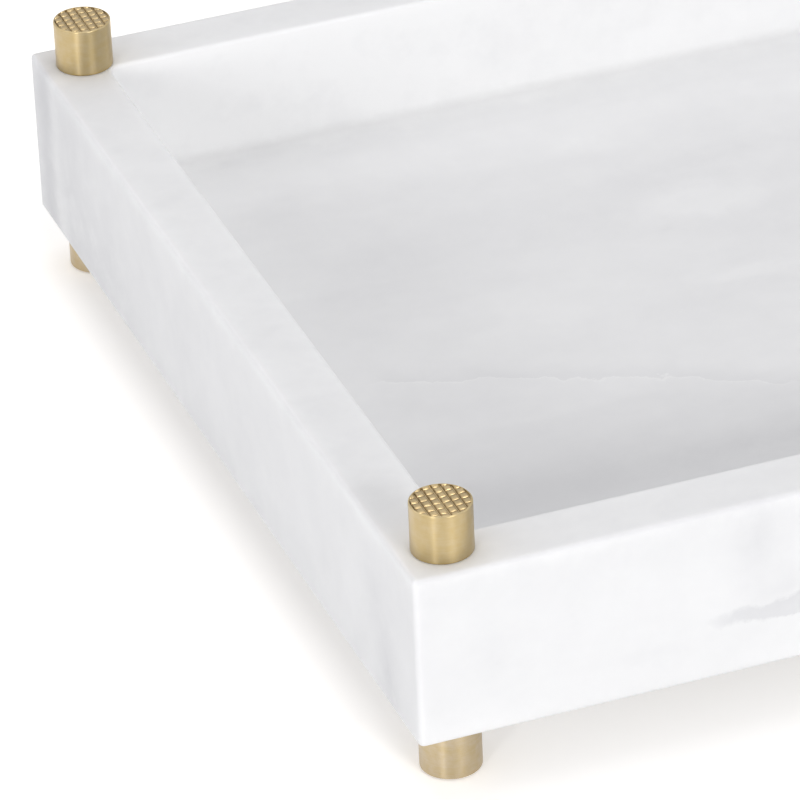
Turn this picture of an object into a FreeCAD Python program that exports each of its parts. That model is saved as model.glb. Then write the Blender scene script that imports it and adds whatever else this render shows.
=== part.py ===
"""Stone dresser vanity tray with brass cap nuts and feet.

One hollowed block of pale translucent stone forms the tray.  A threaded stud
runs through each corner.  A brass cap is screwed on its upper end and a brass
foot on its lower end, each over a soft washer, so that the two clamp the stone
between them.  A rubber pad is let into the underside of each foot.

Frame: origin on the table at the centre of the footprint, +X along the tray's
long side, +Y to the back, +Z up.  Millimetres.
"""
import FreeCAD, Part
import os

import Sketcher
from FreeCAD import Vector

DRIVING_SIZES = [
    # alias, value, what it is
    ("tray_length", 406.0, "outer length of the stone, along X"),
    ("tray_depth", 304.0, "outer depth of the stone, along Y"),
    ("stone_height", 48.3, "underside of the stone to its rim"),
    ("wall_thickness", 17.5, "thickness of each of the four walls"),
    ("floor_thickness", 13.8, "thickness of the stone under the well"),
    ("corner_radius", 1.5, "outer upright corners"),
    ("rim_outer_radius", 1.2, "outer edge of the rim"),
    ("rim_inner_radius", 1.0, "inner edge of the rim"),
    ("base_radius", 0.6, "outer edge of the underside"),
    ("well_corner_radius", 4.0, "upright corners inside the well"),
    ("cove_radius", 2.0, "cove between the well's floor and its walls"),
    ("corner_inset", 12.3, "stud axis to each of the two nearest outer faces"),
    ("stud_diameter", 6.0, "threaded stud"),
    ("stud_engagement", 9.0, "length of stud inside a cap or a foot"),
    ("stud_chamfer", 0.6, "chamfer at each end of the stud"),
    ("hole_clearance", 1.0, "play of the stud in the stone, on the diameter"),
    ("thread_clearance", 0.2, "play of the stud in the brass, on the diameter"),
    ("cap_diameter", 16.0, "brass cap"),
    ("cap_height", 13.7, "brass cap, above the rim"),
    ("foot_diameter", 16.0, "brass foot"),
    ("foot_height", 14.9, "brass foot, below the underside of the stone"),
    ("brass_edge", 0.3, "rounding of the turned brass edges"),
    ("grip_pitch", 2.45, "spacing of the raised pads on the cap's end"),
    ("grip_groove", 0.7, "width of the grooves between those pads"),
    ("grip_relief", 0.35, "depth of those grooves"),
    ("grip_margin", 0.4, "plain rim round the grooved end"),
    ("washer_diameter", 12.0, "soft washer between brass and stone"),
    ("washer_thickness", 0.8, "that washer, and the recess that holds it"),
    ("washer_clearance", 0.3, "play round the washer, on the diameter"),
    ("pad_diameter", 12.0, "rubber pad under the foot"),
    ("pad_recess", 1.0, "depth of the recess that holds the pad"),
    ("pad_proud", 0.5, "how far the pad stands below the foot"),
    ("pad_clearance", 0.3, "play round the pad, on the diameter"),
]

# Levels above the table, and the holes that the stud passes through.
UNDERSIDE = "sizes.pad_proud + sizes.foot_height"
RIM = "sizes.pad_proud + sizes.foot_height + sizes.stone_height"
STONE_HOLE_RADIUS = "(sizes.stud_diameter + sizes.hole_clearance) / 2"
BRASS_BORE_RADIUS = "(sizes.stud_diameter + sizes.thread_clearance) / 2"
WASHER_RECESS_RADIUS = "(sizes.washer_diameter + sizes.washer_clearance) / 2"
PAD_RECESS_RADIUS = "(sizes.pad_diameter + sizes.pad_clearance) / 2"

# Each corner's name, and its side of the tray along X and along Y.
CORNERS = [
    ("front_left", "-1", "-1"),
    ("front_right", "1", "-1"),
    ("back_left", "-1", "1"),
    ("back_right", "1", "1"),
]

SAME = 0.001  # lengths closer than this are equal

doc = FreeCAD.newDocument("vanity_tray")
sizes = doc.addObject("Spreadsheet::Sheet", "sizes")
for row, (alias, number, meaning) in enumerate(DRIVING_SIZES, start=1):
    sizes.set("A%d" % row, alias)
    sizes.set("B%d" % row, str(number))
    sizes.set("C%d" % row, meaning)
    sizes.setAlias("B%d" % row, alias)
doc.recompute()


def value(expression):
    """What an expression on the driving sizes comes to now."""
    return float(sizes.evalExpression(expression))


# ---------------------------------------------------------------- sketching

def new_body(label):
    """An empty body whose label is the name of the piece."""
    body = doc.addObject("PartDesign::Body", label)
    body.Label = label
    return body


def place(body, across, back, level):
    """Bind the body's position to three expressions."""
    body.setExpression("Placement.Base.x", across)
    body.setExpression("Placement.Base.y", back)
    body.setExpression("Placement.Base.z", level)


def new_sketch(body, name, role="XY_Plane", level="0"):
    """A sketch on one of the body's own origin planes, raised by level."""
    plane = [item for item in body.Origin.OriginFeatures if item.Role == role][0]
    sketch = body.newObject("Sketcher::SketchObject", name)
    sketch.AttachmentSupport = [(plane, "")]
    sketch.MapMode = "FlatFace"
    sketch.setExpression("AttachmentOffset.Base.z", level)
    return sketch


def pin_point(sketch, shape_index, point_index, across, up):
    """Hold one point of the sketch at two expressions from its origin."""
    for kind, axis, expression in (("DistanceX", -2, across), ("DistanceY", -1, up)):
        if expression == "0":
            on_axis = Sketcher.Constraint("PointOnObject", shape_index, point_index, axis)
            sketch.addConstraint(on_axis)
            continue
        distance = value(expression)
        at = sketch.addConstraint(
            Sketcher.Constraint(kind, -1, 1, shape_index, point_index, distance))
        sketch.setExpression("Constraints[%d]" % at, expression)


def draw_polygon(sketch, corners):
    """Draw a closed polygon, each corner a pair of expressions."""
    points = [Vector(value(across), value(up), 0) for across, up in corners]
    first = sketch.GeometryCount
    count = len(points)
    for i in range(count):
        sketch.addGeometry(Part.LineSegment(points[i], points[(i + 1) % count]), False)
    for i in range(count):
        joined = first + (i + 1) % count
        sketch.addConstraint(Sketcher.Constraint("Coincident", first + i, 2, joined, 1))
    for i, (across, up) in enumerate(corners):
        pin_point(sketch, first + i, 1, across, up)


def draw_rectangle(sketch, half_width, half_height, across="0", up="0"):
    """Draw a rectangle about a centre, from expressions."""
    left = "%s - (%s)" % (across, half_width)
    right = "%s + (%s)" % (across, half_width)
    low = "%s - (%s)" % (up, half_height)
    high = "%s + (%s)" % (up, half_height)
    draw_polygon(sketch, [(left, low), (right, low), (right, high), (left, high)])


def draw_circle(sketch, radius, across="0", up="0"):
    """Draw a circle about a centre, from expressions."""
    centre = Vector(value(across), value(up), 0)
    circle = sketch.addGeometry(Part.Circle(centre, Vector(0, 0, 1), value(radius)), False)
    pin_point(sketch, circle, 3, across, up)
    at = sketch.addConstraint(Sketcher.Constraint("Radius", circle, value(radius)))
    sketch.setExpression("Constraints[%d]" % at, radius)


# ----------------------------------------------------------------- features

def add_pad(body, name, sketch, length):
    """Raise a solid from the sketch, upwards."""
    pad = body.newObject("PartDesign::Pad", name)
    pad.Profile = sketch
    pad.setExpression("Length", length)
    sketch.Visibility = False
    doc.recompute()
    return pad


def add_pocket(body, name, sketch, depth, upwards):
    """Cut the sketch's shape out of the body, and make sure that it cuts."""
    before = body.Shape.Volume
    pocket = body.newObject("PartDesign::Pocket", name)
    pocket.Profile = sketch
    pocket.Reversed = upwards
    pocket.setExpression("Length", depth)
    doc.recompute()
    if body.Shape.Volume >= before:
        raise RuntimeError("%s cut nothing out of %s" % (name, body.Label))
    return pocket


def add_turning(body, name, sketch):
    """Turn the sketch's profile about the upright axis."""
    turning = body.newObject("PartDesign::Revolution", name)
    turning.Profile = sketch
    turning.ReferenceAxis = (sketch, ["V_Axis"])
    turning.Angle = 360
    doc.recompute()
    return turning


def dress_edges(body, kind, name, size_name, expression, wanted):
    """Fillet or chamfer the edges of the body that wanted() picks."""
    base = body.Tip
    picked = []
    for number, edge in enumerate(base.Shape.Edges, start=1):
        if wanted(edge):
            picked.append("Edge%d" % number)
    if not picked:
        raise RuntimeError("%s found no edge on %s" % (name, body.Label))
    dressing = body.newObject(kind, name)
    dressing.Base = (base, picked)
    dressing.setExpression(size_name, expression)
    doc.recompute()
    return dressing


def round_edges(body, name, radius, wanted):
    """Fillet the edges of the body that wanted() picks."""
    return dress_edges(body, "PartDesign::Fillet", name, "Radius", radius, wanted)


def lies_at(edge, level):
    """Whether the whole edge lies at one level."""
    box = edge.BoundBox
    return abs(box.ZMin - level) < SAME and abs(box.ZMax - level) < SAME


def is_upright(edge):
    """Whether the edge is a straight upright line."""
    box = edge.BoundBox
    return box.XLength < SAME and box.YLength < SAME and box.ZLength > SAME


# ---------------------------------------------------------------- the stone

def make_tray_body():
    """The stone: a block with a shallow well, softened edges and corner holes."""
    body = new_body("tray_body")
    place(body, "0", "0", UNDERSIDE)
    length = value("sizes.tray_length")
    depth = value("sizes.tray_depth")
    wall = value("sizes.wall_thickness")
    height = value("sizes.stone_height")
    floor_level = value("sizes.floor_thickness")

    def is_outside(edge):
        """Whether the edge is nearer to the outer faces than to the well."""
        middle = edge.BoundBox.Center
        past_side = abs(middle.x) > length / 2 - wall / 2
        past_front = abs(middle.y) > depth / 2 - wall / 2
        return past_side or past_front

    block = new_sketch(body, "block_outline")
    draw_rectangle(block, "sizes.tray_length / 2", "sizes.tray_depth / 2")
    add_pad(body, "block", block, "sizes.stone_height")

    well = new_sketch(body, "well_outline", level="sizes.floor_thickness")
    draw_rectangle(
        well,
        "sizes.tray_length / 2 - sizes.wall_thickness",
        "sizes.tray_depth / 2 - sizes.wall_thickness",
    )
    add_pocket(body, "well", well, "sizes.stone_height - sizes.floor_thickness", True)

    round_edges(body, "outer_corners", "sizes.corner_radius",
                lambda edge: is_upright(edge) and is_outside(edge))
    round_edges(body, "well_corners", "sizes.well_corner_radius",
                lambda edge: is_upright(edge) and not is_outside(edge))
    round_edges(body, "well_cove", "sizes.cove_radius",
                lambda edge: lies_at(edge, floor_level))
    round_edges(body, "rim_outer_edge", "sizes.rim_outer_radius",
                lambda edge: lies_at(edge, height) and is_outside(edge))
    round_edges(body, "rim_inner_edge", "sizes.rim_inner_radius",
                lambda edge: lies_at(edge, height) and not is_outside(edge))
    round_edges(body, "base_edge", "sizes.base_radius",
                lambda edge: lies_at(edge, 0))

    holes = new_sketch(body, "stud_holes_outline")
    for _, side_x, side_y in CORNERS:
        across, back = corner_axis(side_x, side_y)
        draw_circle(holes, STONE_HOLE_RADIUS, across, back)
    add_pocket(body, "stud_holes", holes, "sizes.stone_height", True)
    return body


# ------------------------------------------------- the hardware at a corner

def corner_axis(side_x, side_y):
    """Where the stud's axis stands, as two expressions."""
    across = "%s * (sizes.tray_length / 2 - sizes.corner_inset)" % side_x
    back = "%s * (sizes.tray_depth / 2 - sizes.corner_inset)" % side_y
    return across, back


def make_stud(name):
    """The threaded stud: a plain bar of the thread's outer size, with lead-ins."""
    body = new_body(name)
    section = new_sketch(body, name + "_section")
    draw_circle(section, "sizes.stud_diameter / 2")
    add_pad(body, name + "_bar", section, "sizes.stone_height + 2 * sizes.stud_engagement")
    dress_edges(body, "PartDesign::Chamfer", name + "_lead_ins", "Size", "sizes.stud_chamfer",
                lambda edge: edge.BoundBox.ZLength < SAME)
    return body


def make_washer(name):
    """The soft washer that keeps the brass off the stone."""
    body = new_body(name)
    section = new_sketch(body, name + "_section")
    draw_circle(section, "sizes.washer_diameter / 2")
    draw_circle(section, STONE_HOLE_RADIUS)
    add_pad(body, name + "_disc", section, "sizes.washer_thickness")
    return body


def make_foot_pad(name):
    """The rubber pad, half let into the foot."""
    body = new_body(name)
    section = new_sketch(body, name + "_section")
    draw_circle(section, "sizes.pad_diameter / 2")
    add_pad(body, name + "_disc", section, "sizes.pad_recess + sizes.pad_proud")
    return body


def round_turned_edges(body, diameter, height):
    """Break the two outer edges of a turned piece."""

    def is_outer_edge(edge):
        at_end = lies_at(edge, 0) or lies_at(edge, height)
        return at_end and abs(edge.BoundBox.XLength - diameter) < SAME

    round_edges(body, body.Label + "_edges", "sizes.brass_edge", is_outer_edge)


def cut_grip(body, direction, offsets):
    """Cut the grooves that run in one direction across the cap's end."""
    reach = "(sizes.cap_diameter / 2 - sizes.grip_margin)"
    outline = new_sketch(body, "%s_grip_%s" % (body.Label, direction), level="sizes.cap_height")
    for steps in offsets:
        offset = "%s * sizes.grip_pitch" % steps
        outermost = "abs(%s) + sizes.grip_groove / 2" % offset
        half_length = "sqrt(%s ^ 2 - (%s) ^ 2)" % (reach, outermost)
        if direction == "lengthwise":
            draw_rectangle(outline, half_length, "sizes.grip_groove / 2", up=offset)
        else:
            draw_rectangle(outline, "sizes.grip_groove / 2", half_length, across=offset)
    add_pocket(body, outline.Name + "_cut", outline, "sizes.grip_relief", False)


def make_cap(name):
    """The turned brass cap: tapped from below, recessed for its washer."""
    body = new_body(name)
    profile = new_sketch(body, name + "_profile", "XZ_Plane")
    draw_polygon(profile, [
        ("0", "sizes.stud_engagement"),
        (BRASS_BORE_RADIUS, "sizes.stud_engagement"),
        (BRASS_BORE_RADIUS, "sizes.washer_thickness"),
        (WASHER_RECESS_RADIUS, "sizes.washer_thickness"),
        (WASHER_RECESS_RADIUS, "0"),
        ("sizes.cap_diameter / 2", "0"),
        ("sizes.cap_diameter / 2", "sizes.cap_height"),
        ("0", "sizes.cap_height"),
    ])
    add_turning(body, name + "_turning", profile)
    round_turned_edges(body, value("sizes.cap_diameter"), value("sizes.cap_height"))

    # One groove crosses the middle from front to back; the grooves along the
    # tray's length stand half a step to each side of it.
    reach = value("sizes.cap_diameter / 2 - sizes.grip_margin - sizes.grip_groove / 2")
    whole_steps = int(reach / value("sizes.grip_pitch"))
    half_steps = int(reach / value("sizes.grip_pitch") + 0.5)
    cut_grip(body, "crosswise", range(-whole_steps, whole_steps + 1))
    cut_grip(body, "lengthwise", [step + 0.5 for step in range(-half_steps, half_steps)])
    return body


def make_foot(name):
    """The turned brass foot: tapped from above, recessed at both ends."""
    body = new_body(name)
    profile = new_sketch(body, name + "_profile", "XZ_Plane")
    bore_bottom = "sizes.foot_height - sizes.stud_engagement"
    recess_floor = "sizes.foot_height - sizes.washer_thickness"
    draw_polygon(profile, [
        ("0", "sizes.pad_recess"),
        (PAD_RECESS_RADIUS, "sizes.pad_recess"),
        (PAD_RECESS_RADIUS, "0"),
        ("sizes.foot_diameter / 2", "0"),
        ("sizes.foot_diameter / 2", "sizes.foot_height"),
        (WASHER_RECESS_RADIUS, "sizes.foot_height"),
        (WASHER_RECESS_RADIUS, recess_floor),
        (BRASS_BORE_RADIUS, recess_floor),
        (BRASS_BORE_RADIUS, bore_bottom),
        ("0", bore_bottom),
    ])
    add_turning(body, name + "_turning", profile)
    round_turned_edges(body, value("sizes.foot_diameter"), value("sizes.foot_height"))
    return body


def make_corner(corner, side_x, side_y):
    """The six pieces that are stacked on one stud, from the table upwards."""
    levels = [
        (make_foot_pad, "foot_pad", "0"),
        (make_foot, "foot", "sizes.pad_proud"),
        (make_washer, "foot_washer", UNDERSIDE + " - sizes.washer_thickness"),
        (make_stud, "stud", UNDERSIDE + " - sizes.stud_engagement"),
        (make_washer, "cap_washer", RIM),
        (make_cap, "cap", RIM),
    ]
    across, back = corner_axis(side_x, side_y)
    stack = []
    for make, piece, level in levels:
        body = make("%s_%s" % (corner, piece))
        place(body, across, back, level)
        stack.append(body)
    return stack


# ------------------------------------------------------- build, check, write

pieces = [make_tray_body()]
for corner, side_x, side_y in CORNERS:
    pieces.extend(make_corner(corner, side_x, side_y))
doc.recompute()

for item in doc.Objects:
    if "Invalid" in item.State or "Error" in item.State:
        raise RuntimeError("%s failed: %s" % (item.Name, item.State))
for piece in pieces:
    if piece.Shape.isNull() or not piece.Shape.isValid() or len(piece.Shape.Solids) != 1:
        raise RuntimeError("%s isn't one valid solid" % piece.Label)

os.makedirs("parts", exist_ok=True)
for piece in pieces:
    piece.Shape.exportStep("parts/%s.step" % piece.Label)
    box = piece.Shape.BoundBox
    print("%-22s z %6.2f to %6.2f   volume %10.1f mm3"
          % (piece.Label, box.ZMin, box.ZMax, piece.Shape.Volume))
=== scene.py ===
# %% [markdown]
# # A stone vanity tray with brass caps and feet
#
# The real object is one block of pale, translucent stone, hollowed into a shallow
# tray. A threaded stud runs through each corner. A turned brass cap with a waffle
# grooved end is screwed on above the rim, and a turned brass foot below.
#
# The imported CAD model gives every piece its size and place. This script keeps that
# frame as it is and makes the pieces that the eye meets: the honed stone, the
# turned brass and the rubber pads. Everything is in metres, with +Z up.

# %% Load the frame
import math

import bmesh
import bpy
from mathutils import Matrix, Vector, noise


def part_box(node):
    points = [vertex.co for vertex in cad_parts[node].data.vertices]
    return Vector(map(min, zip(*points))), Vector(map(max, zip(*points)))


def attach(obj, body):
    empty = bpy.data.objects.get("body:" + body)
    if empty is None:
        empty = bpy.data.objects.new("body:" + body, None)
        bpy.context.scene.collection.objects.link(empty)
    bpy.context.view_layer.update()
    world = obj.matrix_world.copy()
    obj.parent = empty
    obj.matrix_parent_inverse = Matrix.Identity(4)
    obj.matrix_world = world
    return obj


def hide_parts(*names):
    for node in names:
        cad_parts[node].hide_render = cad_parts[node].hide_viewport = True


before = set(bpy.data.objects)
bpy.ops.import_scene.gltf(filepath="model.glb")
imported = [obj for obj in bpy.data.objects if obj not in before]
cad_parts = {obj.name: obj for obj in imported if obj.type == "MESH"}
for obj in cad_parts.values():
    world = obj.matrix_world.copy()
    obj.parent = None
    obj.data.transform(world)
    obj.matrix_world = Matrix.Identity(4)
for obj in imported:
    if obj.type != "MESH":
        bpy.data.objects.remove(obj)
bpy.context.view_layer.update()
MM = 0.001
CORNERS = ["front_left", "front_right", "back_left", "back_right"]
print("nodes:", len(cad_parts))

# %% [markdown]
# ## Sizes read from the frame
#
# A modeller who repeats a number in two files will change it in one of them. So the
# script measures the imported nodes: the stone's box gives the outer size, and a cap's
# box gives the place of a stud's axis. Only what a box can't tell, such as the wall
# or a small radius, is named here.

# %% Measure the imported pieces
STONE_LOW, STONE_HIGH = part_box("tray_body")
CAP_LOW, CAP_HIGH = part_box("back_right_cap")
FOOT_LOW, FOOT_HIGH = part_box("back_right_foot")
PAD_LOW, PAD_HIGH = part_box("back_right_foot_pad")
WASHER_LOW, WASHER_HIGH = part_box("back_right_cap_washer")
STUD_LOW, STUD_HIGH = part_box("back_right_stud")

HALF_LENGTH = STONE_HIGH.x
HALF_DEPTH = STONE_HIGH.y
UNDERSIDE = STONE_LOW.z
RIM = STONE_HIGH.z
AXIS_X = (CAP_LOW.x + CAP_HIGH.x) / 2
AXIS_Y = (CAP_LOW.y + CAP_HIGH.y) / 2
CAP_RADIUS = (CAP_HIGH.x - CAP_LOW.x) / 2
FOOT_RADIUS = (FOOT_HIGH.x - FOOT_LOW.x) / 2
STUD_RADIUS = (STUD_HIGH.x - STUD_LOW.x) / 2

WALL = 17.5 * MM
FLOOR_LEVEL = UNDERSIDE + 13.8 * MM
STONE_HOLE_RADIUS = 3.5 * MM
print("stone %.1f x %.1f mm, studs at %.1f, %.1f mm"
      % (2 * HALF_LENGTH / MM, 2 * HALF_DEPTH / MM, AXIS_X / MM, AXIS_Y / MM))

# %% [markdown]
# ## The camera
#
# A product close-up of a flat object is usually taken with a long lens from well
# back, because a short lens would make the near corner loom. The camera stands to
# the left of the front, looks down by about thirty degrees and is aimed at the left
# end of the tray, so that the rest of it runs out of the picture.

# %% Set the camera
AIM = Vector((-175.2, -69.2, 63.7)) * MM
VIEW_DISTANCE = 1669.5 * MM
VIEW_FROM_LEFT = math.radians(19.374)
VIEW_DOWN = math.radians(30.742)
VIEW_TILT = math.radians(-2.540)

camera_data = bpy.data.cameras.new("close_up")
camera_data.lens = 295.17
camera_data.sensor_width = 36
camera_data.clip_end = 20
camera = bpy.data.objects.new("close_up", camera_data)
bpy.context.scene.collection.objects.link(camera)
heading = Matrix.Rotation(-VIEW_FROM_LEFT, 4, "Z")
pitch = Matrix.Rotation(math.radians(90) - VIEW_DOWN, 4, "X")
tilt = Matrix.Rotation(VIEW_TILT, 4, "Z")
turn_camera = heading @ pitch @ tilt
backwards = turn_camera @ Vector((0, 0, 1))
camera.matrix_world = Matrix.Translation(AIM + VIEW_DISTANCE * backwards) @ turn_camera
bpy.context.scene.camera = camera
bpy.context.scene.view_settings.view_transform = "Standard"
print("camera at", [round(c, 3) for c in camera.matrix_world.translation])

# %% [markdown]
# ## Helpers for colours and nodes
#
# Paint charts and screens give colours in sRGB, while a shader works with light, in
# linear values. One function does that conversion, so the colours below can be
# written as ordinary hex values. A second one adds any shader node with its settings
# and links, which keeps each material's recipe as short as a list.

# %% Colour and node helpers
def linear(hex_colour):
    """An sRGB hex colour such as 'C9B07E' as linear red, green, blue and alpha."""
    channels = []
    for start in (0, 2, 4):
        value = int(hex_colour[start:start + 2], 16) / 255
        if value <= 0.04045:
            channels.append(value / 12.92)
        else:
            channels.append(((value + 0.055) / 1.055) ** 2.4)
    return (*channels, 1.0)


def add_node(tree, kind, inputs=None, **settings):
    """Add a node. An input is a plain value, a socket, or a node for its first output."""
    node = tree.nodes.new(kind)
    for name, setting in settings.items():
        setattr(node, name, setting)
    for name, value in (inputs or {}).items():
        if isinstance(value, bpy.types.Node):
            value = value.outputs[0]
        if isinstance(value, bpy.types.NodeSocket):
            tree.links.new(value, node.inputs[name])
        else:
            node.inputs[name].default_value = value
    return node


def new_material(name):
    """An empty node material: the material, its tree and its output node."""
    material = bpy.data.materials.new(name)
    material.use_nodes = True
    material.node_tree.nodes.clear()
    output = add_node(material.node_tree, "ShaderNodeOutputMaterial")
    return material, material.node_tree, output


print("linear white is", linear("FFFFFF")[:3])

# %% [markdown]
# ## The floor and the world
#
# A catalogue picture shows the object on white, with nothing of the room but a soft
# shadow. So the camera, and every reflection, meets a floor that glows by itself at a
# third to a half of white and takes the rest from the lamps, which keeps the
# object's shadow. The glow is weakest round the tray and grows with the distance
# from it, faster at the sides than in front. A ray that carries diffuse light meets
# an ordinary matt white floor, which throws light up on the stone as a real table
# does. The world is plain white to the camera and to reflections, and a dim room to
# everything else.

# %% Make the floor and the world
ROOM_TONE = 0.44        # light from the room itself, where white is 1
FLOOR_GLOW = 0.335      # what the seen floor keeps in the deepest shadow
FAR_GLOW = 0.58         # and what it has away from the tray
GLOW_START = (-8, 14)   # mm past the sides, and past the front or back, where it grows
GLOW_REACH = (26, 46)   # mm over which it grows there
COOL_LIGHT = "FDFDFF"   # the room and the fill lamps, a hair bluer than the main lamp

stage_material, tree, output = new_material("matt white backdrop paper")
paper = add_node(tree, "ShaderNodeBsdfDiffuse", {"Color": linear("F2F2F2")})
lit_paper = add_node(tree, "ShaderNodeBsdfDiffuse", {"Color": linear("F6F6F6")})
floor_place = add_node(tree, "ShaderNodeTexCoord").outputs["Object"]
floor_quarter = add_node(tree, "ShaderNodeVectorMath", {0: floor_place},
                         operation="ABSOLUTE")
past_tray = add_node(tree, "ShaderNodeVectorMath",
                     {0: floor_quarter, 1: (HALF_LENGTH + GLOW_START[0] * MM,
                                            HALF_DEPTH + GLOW_START[1] * MM, 0)},
                     operation="SUBTRACT")
past_tray = add_node(tree, "ShaderNodeVectorMath", {0: past_tray, 1: (0, 0, 0)},
                     operation="MAXIMUM")
past_tray = add_node(tree, "ShaderNodeVectorMath",
                     {0: past_tray, 1: (GLOW_REACH[0] * MM, GLOW_REACH[1] * MM, 1)},
                     operation="DIVIDE")
past_share = add_node(tree, "ShaderNodeVectorMath", {0: past_tray}, operation="LENGTH")
floor_glow = add_node(tree, "ShaderNodeMapRange",
                      {"Value": past_share.outputs["Value"], "To Min": FLOOR_GLOW,
                       "To Max": FAR_GLOW}, interpolation_type="SMOOTHSTEP")
glowing_paper = add_node(tree, "ShaderNodeEmission",
                         {"Color": linear("FFFAF4"), "Strength": floor_glow})
seen_paper = add_node(tree, "ShaderNodeAddShader", {0: lit_paper, 1: glowing_paper})


def seen_or_mirrored(tree):
    """One for rays from the camera, from a mirror or through glass, and otherwise zero."""
    path = add_node(tree, "ShaderNodeLightPath")
    seen = add_node(tree, "ShaderNodeMath",
                    {0: path.outputs["Is Camera Ray"], 1: path.outputs["Is Glossy Ray"]},
                    operation="MAXIMUM")
    return add_node(tree, "ShaderNodeMath",
                    {0: seen, 1: path.outputs["Is Transmission Ray"]}, operation="MAXIMUM")


floor_mix = add_node(tree, "ShaderNodeMixShader",
                     {"Fac": seen_or_mirrored(tree), 1: paper, 2: seen_paper})
tree.links.new(floor_mix.outputs[0], output.inputs["Surface"])

FLOOR_HALF = 3.0
floor_mesh = bpy.data.meshes.new("backdrop_floor")
floor_mesh.from_pydata(
    [(-FLOOR_HALF, -FLOOR_HALF, 0), (FLOOR_HALF, -FLOOR_HALF, 0),
     (FLOOR_HALF, FLOOR_HALF, 0), (-FLOOR_HALF, FLOOR_HALF, 0)],
    [], [(0, 1, 2, 3)])
floor = bpy.data.objects.new("backdrop_floor", floor_mesh)
floor.data.materials.append(stage_material)
bpy.context.scene.collection.objects.link(floor)

world = bpy.data.worlds.new("studio")
bpy.context.scene.world = world
world.use_nodes = True
tree = world.node_tree
tree.nodes.clear()
room = add_node(tree, "ShaderNodeBackground",
                {"Color": linear(COOL_LIGHT), "Strength": ROOM_TONE})
white_room = add_node(tree, "ShaderNodeBackground",
                      {"Color": linear("FFFFFF"), "Strength": 1.0})
room_mix = add_node(tree, "ShaderNodeMixShader",
                    {"Fac": seen_or_mirrored(tree), 1: room, 2: white_room})
add_node(tree, "ShaderNodeOutputWorld", {"Surface": room_mix})
print("room tone", ROOM_TONE)

# %% [markdown]
# ## The lamps
#
# Softboxes are large, so their shadows are soft. The main one, a strip, stands in
# front of the tray, slightly to the right: it makes the front face the brightest
# part, and the front wall throws a long soft shadow over the floor of the well. A
# narrow upright strip at the left front draws a second light band down the brass. A
# large sheet of diffuser fills the left side, so large that it hardly shows in the
# brass. A weak box on the right keeps that side of the brass from going dark, and one
# high behind lifts the rim and the well's floor.

# %% Hang the softboxes
def add_softbox(name, azimuth, elevation, distance, width, height, power, colour):
    """A rectangular lamp that faces the tray. Azimuth 0 is in front, 90 on the right."""
    data = bpy.data.lights.new(name, "AREA")
    data.shape = "RECTANGLE"
    data.size = width
    data.size_y = height
    data.energy = power
    data.color = linear(colour)[:3]
    lamp = bpy.data.objects.new(name, data)
    turn = math.radians(azimuth)
    lift = math.radians(elevation)
    place = Vector((math.sin(turn) * math.cos(lift),
                    -math.cos(turn) * math.cos(lift),
                    math.sin(lift))) * distance
    lamp.rotation_euler = place.to_track_quat("Z", "Y").to_euler()
    lamp.location = place
    bpy.context.scene.collection.objects.link(lamp)


SOFTBOXES = [
    # name, azimuth, elevation, distance, width, height, power, colour
    ("front_strip", 10, 22.5, 2.6, 0.8, 0.4, 20.5, "FFFFFF"),
    ("left_front_strip", -47, 13, 2.4, 0.3, 0.7, 12.2, "FFFFFF"),
    ("left_sheet", -100, 30, 2.2, 2.4, 1.5, 7.8, COOL_LIGHT),
    ("right_box", 75, 20, 2.4, 1.3, 0.6, 3.0, COOL_LIGHT),
    ("back_box", 180, 70, 2.0, 1.6, 1.3, 7.6, COOL_LIGHT),
]
for row in SOFTBOXES:
    add_softbox(*row)
print("softboxes:", len(SOFTBOXES))

# %% [markdown]
# ## Stone: honed translucent alabaster
#
# Light enters this stone, scatters a few millimetres under the surface and comes out
# elsewhere, so its edges look soft and its shadows pale. Subsurface scattering gives
# that. The cloudy bands are layers in the block, so they are a three-dimensional
# pattern, stretched along the tray, that runs through from face to face. A few
# clouds, veins and bright spots stand where this block happens to have them. Others
# are painted light and shade: whole faces, or parts of them, made paler or greyer,
# and a painted shadow that deepens the front wall's shadow in the well. Each is
# an ellipsoid whose outline is roughened by noise: a cloud fades out slowly, and a
# vein has a crisp ragged edge.

# %% Name this block's own clouds and veins, and the painted light and shade
STONE_LIGHT = "F6F6F6"
STONE_GREY = "C0C0C4"
FADE = (0.0, 1.0)       # a cloud's outline, as the range that is drawn from 0 to 1
BLUR = (0.05, 0.5)
CRISP = (0.16, 0.30)

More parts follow.
